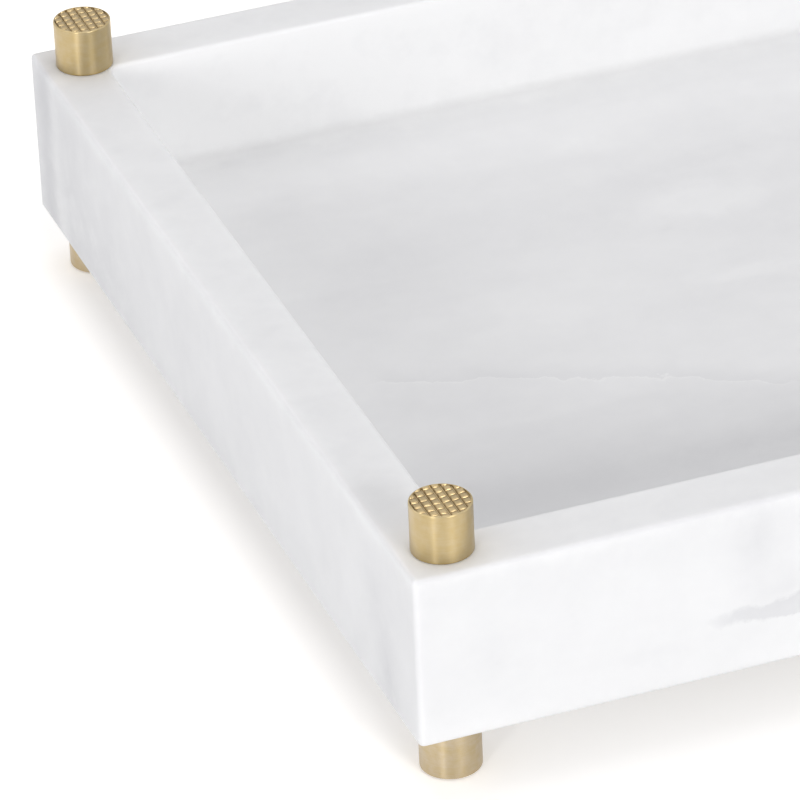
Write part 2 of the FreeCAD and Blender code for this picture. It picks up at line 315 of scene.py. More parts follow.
# name, centre in mm, half sizes in mm, turn about Z in degrees, grey added,
# how far the outline is pushed about in mm, outline
CLOUDS = [
    # the bed of the well
    ("pale_cloud_back", (-58, 98, 29), (28, 13, 12), 3, -0.10, 4, FADE),
    ("pale_cloud_middle", (-42, 52, 29), (38, 19, 12), 2, -0.13, 3, BLUR),
    ("pale_cloud_left", (-106, 12, 29), (40, 26, 12), 0, -0.10, 6, FADE),
    ("pale_streak_right", (-44, 11, 29), (26, 7, 10), -3, -0.07, 3, BLUR),
    ("pale_cloud_front", (-60, -38, 29), (40, 16, 12), -20, -0.06, 4, FADE),
    ("grey_cloud_back", (-146, 100, 29), (34, 22, 14), 0, 0.10, 6, FADE),
    ("grey_cloud_left", (-138, 52, 29), (38, 34, 14), 10, 0.10, 6, FADE),
    ("grey_band_right", (-30, 74, 29), (70, 11, 14), 4, 0.09, 4, FADE),
    ("grey_band_low", (-128, 30, 29), (44, 9, 14), 8, 0.05, 4, FADE),
    ("grey_cloud_front", (-132, -26, 29), (30, 40, 14), 0, 0.09, 6, FADE),
    # painted light: the bed made paler beside the left wall
    ("painted_light_edge_left", (-162, 10, 29), (16, 150, 12), 0, -0.06, 4, FADE),
    # painted shadow: the front wall's shadow on the bed made deeper
    ("painted_shadow_front", (-80, -74, 29), (150, 26, 10), 0, 0.16, 4, FADE),
    ("grey_cloud_right", (-24, 92, 29), (60, 38, 14), 0, 0.07, 6, FADE),
    ("dark_spot", (-154, 128, 29), (5, 6, 6), 20, 0.10, 2, FADE),
    ("dark_fleck", (-57, 42, 29), (6, 4, 5), 0, 0.08, 2, FADE),
    # the front face
    # painted shade: the upper front face made greyer
    ("front_painted_shade_high", (0, -152, 62), (3000, 9, 40), 0, 0.12, 2, FADE),
    # painted light: the front face made paler near the bottom, as light bounced from the
    # table
    ("front_painted_bounce_low", (0, -152, 12), (3000, 8, 26), 0, -0.10, 2, FADE),
    ("front_vein", (-92, -152, 31.2), (60, 12, 5.8), 0, 0.26, 2, CRISP),
    ("front_vein_haze", (-112, -152, 52), (13, 8, 36), 0, 0.17, 2, FADE),
    ("front_vein_mist", (-104, -152, 37), (17, 8, 9), 0, 0.12, 2, FADE),
    ("front_specks", (-143, -152, 26), (16, 8, 5), 14, 0.05, 2, BLUR),
    ("front_shade", (-183, -152, 36), (14, 8, 20), 20, 0.08, 3, FADE),
    # the left face
    # painted shade and light: the left face greyer at the back, low down and overall, and
    # paler at the front
    ("left_painted_shade_back", (-203, 118, 26), (9, 110, 60), 0, 0.18, 6, FADE),
    ("left_painted_shade_low", (-203, 0, 14), (9, 3000, 26), 0, 0.12, 6, FADE),
    ("left_painted_shade", (-203, 0, 40), (9, 3000, 60), 0, 0.05, 6, FADE),
    ("left_painted_light_front", (-203, -80, 44), (9, 70, 40), 0, -0.06, 6, FADE),
    ("left_streaks", (-203, -130, 24), (8, 15, 34), 0, 0.30, 3, FADE),
    ("left_streaks_high", (-203, -122, 44), (8, 12, 18), 0, 0.12, 3, FADE),
    ("left_pale_spot", (-203, 102, 31), (6, 7, 6), 0, -0.16, 2, FADE),
    ("left_pale_dot", (-203, 89, 23), (6, 5, 3.5), 0, -0.12, 2, FADE),
    # the rim and the inner walls
    # painted light: the rim made paler
    ("rim_painted_light", (0, 0, 64), (3000, 3000, 9), 0, -0.10, 6, FADE),
    # painted light: the rim round the front left cap made paler, against the cap's shade
    ("rim_painted_light_front", (-188, -142, 64), (22, 18, 9), 0, -0.10, 4, FADE),
    ("rim_grey_back", (-196, 140, 60), (36, 60, 40), 0, 0.24, 4, FADE),
    # painted light: the inside of the back wall made paler
    ("back_wall_painted_light", (-110, 134, 44), (400, 12, 110), 0, -0.17, 6, FADE),
]

# %% Make the stone's finish
def place_in_mm(tree):
    """The position on the piece in millimetres, so that patterns have real sizes."""
    place = add_node(tree, "ShaderNodeTexCoord").outputs["Object"]
    return add_node(tree, "ShaderNodeVectorMath", {0: place, "Scale": 1 / MM},
                    operation="SCALE")


stone, tree, output = new_material("honed alabaster")
stone_mm = place_in_mm(tree)


def roughened(noise_width, reach):
    """Positions in mm, pushed about by noise of that width, by up to about reach."""
    push_noise = add_node(tree, "ShaderNodeTexNoise",
                          {"Vector": stone_mm, "Scale": 1 / noise_width, "Detail": 5.0,
                           "Roughness": 0.62})
    centred = add_node(tree, "ShaderNodeVectorMath",
                       {0: push_noise.outputs["Color"], 1: (0.5, 0.5, 0.5)},
                       operation="SUBTRACT")
    push = add_node(tree, "ShaderNodeVectorMath", {0: centred, "Scale": 4 * reach},
                    operation="SCALE")
    return add_node(tree, "ShaderNodeVectorMath", {0: stone_mm, 1: push}, operation="ADD")


# Layers: long soft bands along the tray, rising slightly towards the right.
LAYER_LENGTH = 110      # mm, along the tray
LAYER_WIDTH = 36        # mm, across it
LAYER_TURN = 9          # degrees
MOTTLE_SIZE = 11        # mm

layers_place = add_node(tree, "ShaderNodeMapping",
                        {"Vector": stone_mm, "Rotation": (0, 0, math.radians(-LAYER_TURN)),
                         "Scale": (1 / LAYER_LENGTH, 1 / LAYER_WIDTH, 1 / LAYER_WIDTH)})
layers = add_node(tree, "ShaderNodeTexNoise",
                  {"Vector": layers_place, "Scale": 1.0, "Detail": 4.0,
                   "Roughness": 0.5, "Distortion": 0.5})
mottle = add_node(tree, "ShaderNodeTexNoise",
                  {"Vector": stone_mm, "Scale": 1 / MOTTLE_SIZE, "Detail": 7.0,
                   "Roughness": 0.62})
grey = add_node(tree, "ShaderNodeMapRange",
                {"Value": layers, "From Min": 0.35, "From Max": 0.68,
                 "To Min": 0.09, "To Max": 0.17}, interpolation_type="SMOOTHSTEP")
mottling = add_node(tree, "ShaderNodeMapRange",
                    {"Value": mottle, "From Min": 0.3, "From Max": 0.7,
                     "To Min": -0.03, "To Max": 0.03})
grey = add_node(tree, "ShaderNodeMath", {0: grey, 1: mottling}, operation="ADD")

warps = {}
for name, centre, half_sizes, turn, added, reach, outline in CLOUDS:
    if reach not in warps:
        warps[reach] = roughened(3.5 * reach, reach)
    cloud_place = add_node(tree, "ShaderNodeMapping",
                           {"Vector": warps[reach], "Location": centre,
                            "Rotation": (0, 0, math.radians(turn)), "Scale": half_sizes},
                           vector_type="TEXTURE", label=name)
    cloud = add_node(tree, "ShaderNodeTexGradient", {"Vector": cloud_place},
                     gradient_type="QUADRATIC_SPHERE")
    amount = add_node(tree, "ShaderNodeMapRange",
                      {"Value": cloud.outputs["Fac"], "From Min": outline[0],
                       "From Max": outline[1], "To Min": 0.0, "To Max": added})
    grey = add_node(tree, "ShaderNodeMath", {0: amount, 1: grey}, operation="ADD")

# %% [markdown]
# ## A healed crack, and the painted shade of a stud and of the arris
#
# A thin wavy line crosses the bed of the well, where a crack closed again while the
# stone still lay in the ground. It is the place where a roughened plane cuts the
# surface, so it needs only a distance from that plane. At the back left corner the
# metal stud inside the translucent stone is drawn as a painted shade: a darker upright
# band in the wall. The rim's outer arris gets a painted shade too.

# %% Add the crack and the painted shade
CRACK_POINT = (-106, -26, 0)    # mm, a point that the line runs through
CRACK_TURN = 24                 # degrees, how much the line falls towards the right
CRACK_WIDTH = 0.7               # mm, a real one is finer, but wouldn't show
CRACK_ENDS = (-164, -48)        # mm along X
CRACK_FADES = (12, 20)          # mm over which it fades at those ends
CRACK_LINE = -0.08              # grey added in the line, so that it is paler
CRACK_SHADE = (0.10, 9.0)       # grey added beside it, and the mm over which it fades
CRACK_EDGE = 0.4                # mm from the line's middle to where the shade starts
ARRIS_SHADE_REACH = (1.5, 0.4)        # mm from the outer arris where the painted shade starts and is full
ARRIS_SHADE_GREY = 0.16               # grey that the painted shade on the arris adds
BAND_OFFSET = 1                 # mm from the stud's axis back to the band's middle
BAND_REACH = 10.0               # mm from the band's middle to where it ends
STUD_SHADE_GREY = 0.26                # grey that the stud's painted shade adds, in its band

crack_place = add_node(tree, "ShaderNodeMapping",
                       {"Vector": roughened(16, 4.0), "Location": CRACK_POINT,
                        "Rotation": (0, 0, math.radians(-CRACK_TURN))},
                       vector_type="TEXTURE", label="healed_crack")
crack_parts = add_node(tree, "ShaderNodeSeparateXYZ", {0: crack_place})
crack_gap = add_node(tree, "ShaderNodeMath", {0: crack_parts.outputs["Y"]},
                     operation="ABSOLUTE")
crack_line = add_node(tree, "ShaderNodeMapRange",
                      {"Value": crack_gap, "From Min": 0.0, "From Max": CRACK_WIDTH,
                       "To Min": CRACK_LINE, "To Max": 0.0},
                      interpolation_type="SMOOTHSTEP")
crack_shade = add_node(tree, "ShaderNodeMapRange",
                       {"Value": crack_parts.outputs["Y"], "From Min": CRACK_EDGE,
                        "From Max": CRACK_SHADE[1], "To Min": CRACK_SHADE[0],
                        "To Max": 0.0})
above_crack = add_node(tree, "ShaderNodeMath",
                       {0: crack_parts.outputs["Y"], 1: CRACK_EDGE},
                       operation="GREATER_THAN")
crack_shade = add_node(tree, "ShaderNodeMath", {0: crack_shade, 1: above_crack},
                       operation="MULTIPLY")
crack = add_node(tree, "ShaderNodeMath", {0: crack_line, 1: crack_shade}, operation="ADD")
mm_parts = add_node(tree, "ShaderNodeSeparateXYZ", {0: stone_mm})
crack_start = add_node(tree, "ShaderNodeMapRange",
                       {"Value": mm_parts.outputs["X"], "From Min": CRACK_ENDS[0],
                        "From Max": CRACK_ENDS[0] + CRACK_FADES[0]},
                       interpolation_type="SMOOTHSTEP")
crack_end = add_node(tree, "ShaderNodeMapRange",
                     {"Value": mm_parts.outputs["X"],
                      "From Min": CRACK_ENDS[1] - CRACK_FADES[1],
                      "From Max": CRACK_ENDS[1], "To Min": 1.0, "To Max": 0.0},
                     interpolation_type="SMOOTHSTEP")
crack_length = add_node(tree, "ShaderNodeMath", {0: crack_start, 1: crack_end},
                        operation="MULTIPLY")
crack = add_node(tree, "ShaderNodeMath", {0: crack, 1: crack_length}, operation="MULTIPLY")
grey = add_node(tree, "ShaderNodeMath", {0: grey, 1: crack}, operation="ADD")

# The rim's outer arris is painted greyer: a painted shade that damps the light on its round.
quarter = add_node(tree, "ShaderNodeVectorMath", {0: stone_mm}, operation="ABSOLUTE")
past_faces = add_node(tree, "ShaderNodeVectorMath",
                      {0: quarter, 1: (HALF_LENGTH / MM, HALF_DEPTH / MM, RIM / MM)},
                      operation="SUBTRACT")
past_parts = add_node(tree, "ShaderNodeSeparateXYZ", {0: past_faces})
past_wall = add_node(tree, "ShaderNodeMath",
                     {0: past_parts.outputs["X"], 1: past_parts.outputs["Y"]},
                     operation="MAXIMUM")
past_arris = add_node(tree, "ShaderNodeMath", {0: past_wall, 1: past_parts.outputs["Z"]},
                      operation="MINIMUM")
arris_painted_shade = add_node(tree, "ShaderNodeMapRange",
                 {"Value": past_arris, "From Min": -ARRIS_SHADE_REACH[0],
                  "From Max": -ARRIS_SHADE_REACH[1], "To Min": 0.0, "To Max": ARRIS_SHADE_GREY},
                 interpolation_type="SMOOTHSTEP")
grey = add_node(tree, "ShaderNodeMath", {0: grey, 1: arris_painted_shade}, operation="ADD")

# The painted shade of the stud stands in the left face as a band, a little behind the
# stud's axis, and goes twice as deep into the stone as it is wide.
stud_gap = add_node(tree, "ShaderNodeVectorMath",
                    {0: roughened(9, 1.2),
                     1: (-HALF_LENGTH / MM, AXIS_Y / MM + BAND_OFFSET, 0)},
                    operation="SUBTRACT")
level_gap = add_node(tree, "ShaderNodeVectorMath", {0: stud_gap, 1: (0.5, 1, 0)},
                     operation="MULTIPLY")
band_distance = add_node(tree, "ShaderNodeVectorMath", {0: level_gap}, operation="LENGTH")
stud_painted_shade = add_node(tree, "ShaderNodeMapRange",
                     {"Value": band_distance.outputs["Value"], "From Min": 1.0,
                      "From Max": BAND_REACH, "To Min": STUD_SHADE_GREY, "To Max": 0.0},
                     interpolation_type="SMOOTHSTEP")
grey = add_node(tree, "ShaderNodeMath", {0: grey, 1: stud_painted_shade}, operation="ADD",
                use_clamp=True)

# %% Finish the stone
GRAIN_SIZE = 0.9        # mm, far coarser than the real grit marks, so that it shows

stone_colour = add_node(tree, "ShaderNodeMix",
                        {"Factor": grey, 6: linear(STONE_LIGHT), 7: linear(STONE_GREY)},
                        data_type="RGBA")
grain = add_node(tree, "ShaderNodeTexNoise",
                 {"Vector": stone_mm, "Scale": 1 / GRAIN_SIZE, "Detail": 3.0})
grain_bump = add_node(tree, "ShaderNodeBump",
                      {"Height": grain, "Strength": 0.25, "Distance": 0.03 * MM})
polish = add_node(tree, "ShaderNodeMapRange",
                  {"Value": mottle, "To Min": 0.66, "To Max": 0.78})
stone_shader = add_node(tree, "ShaderNodeBsdfPrincipled",
                        {"Base Color": stone_colour.outputs[2], "Roughness": polish,
                         "IOR": 1.52, "Subsurface Weight": 1.0,
                         "Subsurface Radius": (1.0, 1.0, 1.0),
                         "Subsurface Scale": 2.5 * MM, "Normal": grain_bump})
tree.links.new(stone_shader.outputs[0], output.inputs["Surface"])
print("stone's nodes:", len(tree.nodes))

# %% [markdown]
# ## The stone tray as a mesh
#
# Box modelling with bevels would give every edge the same radius. Here the section of
# the wall is a list of rings instead: each ring is a rounded rectangle, set in from
# the outer face by some distance at some height. Skinning the rings one after the
# other, from the middle of the underside round the wall to the middle of the well,
# makes one closed skin with each radius where it belongs. A slow noise then pulls the
# walls in by about a tenth of a millimetre, because stone that is ground by hand is
# never dead straight. The stud holes are cut last.

# %% The stone's section, from the middle of the underside to the middle of the well
OUTER_CORNER = 1.5 * MM
WELL_CORNER = 4.0 * MM
BASE_EDGE = 0.6 * MM
RIM_OUTER_EDGE = 1.2 * MM
RIM_INNER_EDGE = 1.0 * MM
COVE = 2.0 * MM
HOLD = 0.4 * MM         # a ring this close to an arc keeps the flat beside it flat
MIDDLE = 60 * MM        # the innermost rings, inset from the outer faces
LEAST_CORNER = 0.3 * MM


def bend(inset, level, radius, start, sweep, steps=5):
    """Points round a quarter circle of the section, each an inset and a level."""
    points = []
    for step in range(steps + 1):
        angle = math.radians(start + sweep * step / steps)
        points.append((inset + radius * math.cos(angle), level + radius * math.sin(angle)))
    return points


def rise(inset, start, end, steps):
    """Points up or down a straight wall of the section."""
    return [(inset, start + (end - start) * step / steps) for step in range(steps + 1)]


section = [(MIDDLE, UNDERSIDE), (BASE_EDGE + HOLD, UNDERSIDE)]
section += bend(BASE_EDGE, UNDERSIDE + BASE_EDGE, BASE_EDGE, 270, -90)
section += rise(0, UNDERSIDE + BASE_EDGE + HOLD, RIM - RIM_OUTER_EDGE - HOLD, 6)
section += bend(RIM_OUTER_EDGE, RIM - RIM_OUTER_EDGE, RIM_OUTER_EDGE, 180, -90)
section += [(RIM_OUTER_EDGE + HOLD, RIM), (WALL - RIM_INNER_EDGE - HOLD, RIM)]
section += bend(WALL - RIM_INNER_EDGE, RIM - RIM_INNER_EDGE, RIM_INNER_EDGE, 90, -90)
section += rise(WALL, RIM - RIM_INNER_EDGE - HOLD, FLOOR_LEVEL + COVE + HOLD, 4)
section += bend(WALL + COVE, FLOOR_LEVEL + COVE, COVE, 180, 90)
section += [(WALL + COVE + HOLD, FLOOR_LEVEL), (MIDDLE, FLOOR_LEVEL)]
print("rings in the section:", len(section))

# %% Skin the rings
STEPS_ALONG = 44
STEPS_BACK = 34
ARC_STEPS = 6
WAVE_WIDTH = 55 * MM    # width of the slow waves left by hand grinding
WAVE_DEPTH = 0.12 * MM


def corner_radius(inset):
    """The radius of a ring's corners, at its inset from the outer faces."""
    if inset <= RIM_OUTER_EDGE + HOLD:
        return max(OUTER_CORNER - inset, LEAST_CORNER)
    return max(WELL_CORNER + WALL - inset, LEAST_CORNER)


def corner_arcs(half_x, half_y, radius, level, steps):
    """The four corner arcs of a rounded rectangle, each a list of points."""
    arcs = []
    for number, (side_x, side_y) in enumerate([(1, -1), (1, 1), (-1, 1), (-1, -1)]):
        centre = Vector((side_x * (half_x - radius), side_y * (half_y - radius), level))
        arc = []
        for step in range(steps + 1):
            angle = math.radians(90 * (number - 1 + step / steps))
            arc.append(centre + radius * Vector((math.cos(angle), math.sin(angle), 0)))
        arcs.append(arc)
    return arcs


def rounded_rectangle(half_x, half_y, radius, level):
    """A ring of points round a rectangle, with more points along its straight sides."""
    arcs = corner_arcs(half_x, half_y, radius, level, ARC_STEPS)
    ring = []
    for number, arc in enumerate(arcs):
        next_start = arcs[(number + 1) % 4][0]
        steps = STEPS_ALONG if number % 2 else STEPS_BACK
        ring += arc
        ring += [arc[-1].lerp(next_start, step / steps) for step in range(1, steps)]
    return ring


def skin_rings(mesh, rings):
    """Join each ring of vertices to the next with quads, and close the first and last."""
    for ring, next_ring in zip(rings, rings[1:]):
        for i in range(len(ring)):
            j = (i + 1) % len(ring)
            mesh.faces.new((ring[i], ring[j], next_ring[j], next_ring[i]))
    mesh.faces.new(list(reversed(rings[0])))
    mesh.faces.new(rings[-1])


def new_object(name, mesh, materials):
    """Turn a bmesh into an object at the origin, smooth, with its faces outwards."""
    bmesh.ops.recalc_face_normals(mesh, faces=mesh.faces)
    data = bpy.data.meshes.new(name)
    mesh.to_mesh(data)
    mesh.free()
    data.shade_smooth()
    for material in materials:
        data.materials.append(material)
    made = bpy.data.objects.new(name, data)
    bpy.context.scene.collection.objects.link(made)
    return made


stone_skin = bmesh.new()
rings = []
for inset, level in section:
    outline = rounded_rectangle(HALF_LENGTH - inset, HALF_DEPTH - inset,
                                corner_radius(inset), level)
    ring = []
    for point in outline:
        pull = WAVE_DEPTH * (1 + noise.noise(point / WAVE_WIDTH)) / 2
        point.x *= 1 - pull / HALF_LENGTH
        point.y *= 1 - pull / HALF_DEPTH
        ring.append(stone_skin.verts.new(point))
    rings.append(ring)
skin_rings(stone_skin, rings)
stone_tray = new_object("stone_tray", stone_skin, [stone])
print("stone faces before the holes:", len(stone_tray.data.polygons))

# %% [markdown]
# The stud holes are hidden under the brass, but they are real, and light that
# scatters in the stone meets them. A Boolean modifier cuts all four with one cutter.
# A Weighted Normal modifier then lets the large flat faces keep their own shading,
# so that only the small arcs look round. Both are applied, and the cutter goes.

# %% Cut the stud holes
def settle(made):
    """Apply an object's modifiers: its mesh becomes the evaluated one."""
    view = bpy.context.evaluated_depsgraph_get()
    settled = bpy.data.meshes.new_from_object(made.evaluated_get(view))
    made.modifiers.clear()
    made.data = settled


def weigh_normals(made, sharp_from=50):
    """Keep flats flat, and edges sharper than an angle sharp."""
    made.data.set_sharp_from_angle(angle=math.radians(sharp_from))
    weighted = made.modifiers.new("weighted_normals", "WEIGHTED_NORMAL")
    weighted.keep_sharp = True
    settle(made)


HOLE_SIDES = 48
CUTTER_REACH = 1.2      # the cutter's length as a share of the stone's height

cutter_mesh = bmesh.new()
for side_x in (-1, 1):
    for side_y in (-1, 1):
        middle = Vector((side_x * AXIS_X, side_y * AXIS_Y, (UNDERSIDE + RIM) / 2))
        bmesh.ops.create_cone(cutter_mesh, cap_ends=True, segments=HOLE_SIDES,
                              radius1=STONE_HOLE_RADIUS, radius2=STONE_HOLE_RADIUS,
                              depth=(RIM - UNDERSIDE) * CUTTER_REACH,
                              matrix=Matrix.Translation(middle))
cutter = new_object("hole_cutter", cutter_mesh, [])
cut = stone_tray.modifiers.new("stud_holes", "BOOLEAN")
cut.object = cutter
cut.operation = "DIFFERENCE"
cut.solver = "EXACT"
settle(stone_tray)
bpy.data.objects.remove(cutter)
weigh_normals(stone_tray)
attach(stone_tray, "root")
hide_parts("tray_body")
print("stone faces:", len(stone_tray.data.polygons))

# %% [markdown]
# ## Satin brass, turned on a lathe
#
# A turning tool leaves fine rings round the axis. Seen from the side they are level
# lines, and they smear each reflection along the axis, so a softbox shows as a tall
# soft band. That is what an anisotropic shader does, with its tangent across the
# rings. The pattern reads the distance to the stud's axis, the turn round it and the
# height. Folding the position to one quarter of the tray lets a single material serve
# all eight pieces. The colour also carries painted light and shade: the brass is
# painted darker beside the stone, the feet paler, the milled end darker as a painted
# reflection, and the foot of each long groove dark as painted shade.

# %% Make the brass
BRASS_LIGHT = "BBAA87"  # the caps where they are clean
BRASS_FEET_PAINTED_LIGHT = "C2B49C"   # the feet, painted paler: painted light
BRASS_SMEARS_AND_SHADE = "B39A5C"   # smears, and painted shade beside the stone
BRASS_END_PAINTED_REFLECTION = "B09C76"    # the milled end, painted darker: a painted reflection
BRASS_GROOVE_SHADE = "4E3C22"   # painted shade at the foot of the long grooves
END_BORDER = 0.45 * MM  # plain turned border round the milled end
RING_SPACING = 0.28     # mm between turning rings; real ones are too fine to show
GRIP_PITCH = 2.45 * MM
GRIP_RELIEF = 0.35 * MM
GROOVE_FOOT = 0.19 * MM     # from a long groove's middle to the foot of its sides


brass, tree, output = new_material("satin turned brass")
in_mm = place_in_mm(tree)
quarter = add_node(tree, "ShaderNodeVectorMath", {0: in_mm}, operation="ABSOLUTE")
side = add_node(tree, "ShaderNodeVectorMath", {0: in_mm}, operation="SIGN")
from_axis = add_node(tree, "ShaderNodeVectorMath",
                     {0: quarter, 1: (AXIS_X / MM, AXIS_Y / MM, 0)}, operation="SUBTRACT")
across = add_node(tree, "ShaderNodeVectorMath", {0: from_axis, 1: (1, 1, 0)},
                  operation="MULTIPLY")
radius = add_node(tree, "ShaderNodeVectorMath", {0: across}, operation="LENGTH")
outwards = add_node(tree, "ShaderNodeVectorMath", {0: across}, operation="NORMALIZE")
parts = add_node(tree, "ShaderNodeSeparateXYZ", {0: from_axis})
turn = add_node(tree, "ShaderNodeMath",
                {0: parts.outputs["Y"], 1: parts.outputs["X"]}, operation="ARCTAN2")
height = parts.outputs["Z"]

ring_place = add_node(tree, "ShaderNodeCombineXYZ",
                      {"X": turn, "Y": radius.outputs["Value"], "Z": height})
ring_scale = add_node(tree, "ShaderNodeVectorMath",
                      {0: ring_place, 1: (0.8, 1 / RING_SPACING, 1 / RING_SPACING)},
                      operation="MULTIPLY")
rings_noise = add_node(tree, "ShaderNodeTexNoise",
                       {"Vector": ring_scale, "Scale": 1.0, "Detail": 2.0})
ring_bump = add_node(tree, "ShaderNodeBump",
                     {"Height": rings_noise, "Strength": 0.5, "Distance": 0.012 * MM})

smears = add_node(tree, "ShaderNodeTexNoise",
                  {"Vector": in_mm, "Scale": 1 / 2.6, "Detail": 5.0, "Roughness": 0.6})
above_stone = add_node(tree, "ShaderNodeMath", {0: height, 1: RIM / MM},
                       operation="SUBTRACT")
joint_gap = add_node(tree, "ShaderNodeMath", {0: above_stone}, operation="ABSOLUTE")
# painted shade: the brass made darker where it meets the stone
joint_painted_shade = add_node(tree, "ShaderNodeMapRange",
                      {"Value": joint_gap, "From Min": 0.15, "From Max": 0.9,
                       "To Min": 0.35, "To Max": 0.0}, interpolation_type="SMOOTHSTEP")
dull_smears = add_node(tree, "ShaderNodeMapRange",
                       {"Value": smears, "From Min": 0.35, "From Max": 0.7,
                        "To Min": 0.0, "To Max": 0.35})
dull_rings = add_node(tree, "ShaderNodeMapRange",
                      {"Value": rings_noise, "From Min": 0.3, "From Max": 0.7,
                       "To Min": 0.0, "To Max": 0.16})
dullness_and_shade = add_node(tree, "ShaderNodeMath", {0: dull_smears, 1: dull_rings}, operation="ADD")
dullness_and_shade = add_node(tree, "ShaderNodeMath", {0: dullness_and_shade, 1: joint_painted_shade}, operation="ADD",
                    use_clamp=True)
# The feet's brass is painted paler than that of the caps: painted light.
feet_painted_light_mask = add_node(tree, "ShaderNodeMath", {0: height, 1: UNDERSIDE / MM},
                     operation="LESS_THAN")

# The milled end is painted darker, as a painted reflection, and the foot of its long grooves
# gets a painted shade.
end_mask = add_node(tree, "ShaderNodeMapRange",
                    {"Value": height, "From Min": (CAP_HIGH.z - 1.4 * GRIP_RELIEF) / MM,
                     "From Max": (CAP_HIGH.z - 1.2 * GRIP_RELIEF) / MM})
within_rim = add_node(tree, "ShaderNodeMath",
                      {0: radius.outputs["Value"], 1: (CAP_RADIUS - END_BORDER) / MM},
                      operation="LESS_THAN")
end_mask = add_node(tree, "ShaderNodeMath", {0: end_mask, 1: within_rim},
                    operation="MULTIPLY")
groove_gap = add_node(tree, "ShaderNodeMath",
                      {0: parts.outputs["X"], 1: GRIP_PITCH / 2 / MM}, operation="PINGPONG")
foot_gap = add_node(tree, "ShaderNodeMath", {0: groove_gap, 1: GROOVE_FOOT / MM},
                    operation="SUBTRACT")
foot_gap = add_node(tree, "ShaderNodeMath", {0: foot_gap}, operation="ABSOLUTE")
groove_painted_shade = add_node(tree, "ShaderNodeMapRange",
                   {"Value": foot_gap, "From Min": 0.03, "From Max": 0.11,
                    "To Min": 1.0, "To Max": 0.0}, interpolation_type="SMOOTHSTEP")
groove_painted_shade = add_node(tree, "ShaderNodeMath", {0: groove_painted_shade, 1: end_mask}, operation="MULTIPLY")

# Each tone is laid over those before it, where its mask is.
brass_colour = linear(BRASS_LIGHT)
for mask, tone in [(feet_painted_light_mask, BRASS_FEET_PAINTED_LIGHT), (dullness_and_shade, BRASS_SMEARS_AND_SHADE),
                   (end_mask, BRASS_END_PAINTED_REFLECTION), (groove_painted_shade, BRASS_GROOVE_SHADE)]:
    mixed = add_node(tree, "ShaderNodeMix",
                     {"Factor": mask, 6: brass_colour, 7: linear(tone)}, data_type="RGBA")
    brass_colour = mixed.outputs[2]
satin = add_node(tree, "ShaderNodeMapRange",
                 {"Value": smears, "To Min": 0.30, "To Max": 0.38})
# Outwards plus up lies across the rings both on the side and on the flat end.
true_outwards = add_node(tree, "ShaderNodeVectorMath", {0: outwards, 1: side},
                         operation="MULTIPLY")
across_rings = add_node(tree, "ShaderNodeVectorMath", {0: true_outwards, 1: (0, 0, 1)},
                        operation="ADD")
world_tangent = add_node(tree, "ShaderNodeVectorTransform", {0: across_rings},
                         vector_type="VECTOR", convert_from="OBJECT", convert_to="WORLD")
brass_shader = add_node(tree, "ShaderNodeBsdfPrincipled",
                        {"Base Color": brass_colour, "Metallic": 1.0,
                         "Roughness": satin, "Anisotropic": 0.8,
                         "Tangent": world_tangent, "Normal": ring_bump})
tree.links.new(brass_shader.outputs[0], output.inputs["Surface"])
print("brass nodes:", len(tree.nodes))

# %% [markdown]
# ## Rubber, fibre and steel
#
# Three finishes that are met only from below or when the tray is taken apart. The
# pads are black nitrile rubber, moulded, with a fine grain. The washers are red
# vulcanised fibre, as plumbers use, pressed from paper, so flecked. The studs are
# threaded steel rod with bright zinc plating, which is faintly blue and cloudy.

# %% Make the small finishes
rubber, tree, output = new_material("moulded nitrile rubber")
in_mm = place_in_mm(tree)
rubber_grain = add_node(tree, "ShaderNodeTexNoise",
                        {"Vector": in_mm, "Scale": 1 / 0.35, "Detail": 3.0})
rubber_dust = add_node(tree, "ShaderNodeTexNoise",
                       {"Vector": in_mm, "Scale": 1 / 3.0, "Detail": 4.0})
rubber_colour = add_node(tree, "ShaderNodeMix",
                         {"Factor": rubber_dust, 6: linear("1E1E1F"), 7: linear("343436")},
                         data_type="RGBA")
rubber_bump = add_node(tree, "ShaderNodeBump",
                       {"Height": rubber_grain, "Strength": 0.5, "Distance": 0.04 * MM})
rubber_shader = add_node(tree, "ShaderNodeBsdfPrincipled",
                         {"Base Color": rubber_colour.outputs[2], "Roughness": 0.72,
                          "IOR": 1.52, "Normal": rubber_bump})
tree.links.new(rubber_shader.outputs[0], output.inputs["Surface"])

fibre, tree, output = new_material("pressed vulcanised fibre")
in_mm = place_in_mm(tree)
flecks = add_node(tree, "ShaderNodeTexNoise",
                  {"Vector": in_mm, "Scale": 1 / 0.5, "Detail": 5.0, "Roughness": 0.7})
fibre_colour = add_node(tree, "ShaderNodeMix",
                        {"Factor": flecks, 6: linear("7A3A2E"), 7: linear("9C5646")},
                        data_type="RGBA")
fibre_bump = add_node(tree, "ShaderNodeBump",
                      {"Height": flecks, "Strength": 0.4, "Distance": 0.03 * MM})
fibre_shader = add_node(tree, "ShaderNodeBsdfPrincipled",
                        {"Base Color": fibre_colour.outputs[2], "Roughness": 0.6,
                         "IOR": 1.54, "Normal": fibre_bump})
tree.links.new(fibre_shader.outputs[0], output.inputs["Surface"])

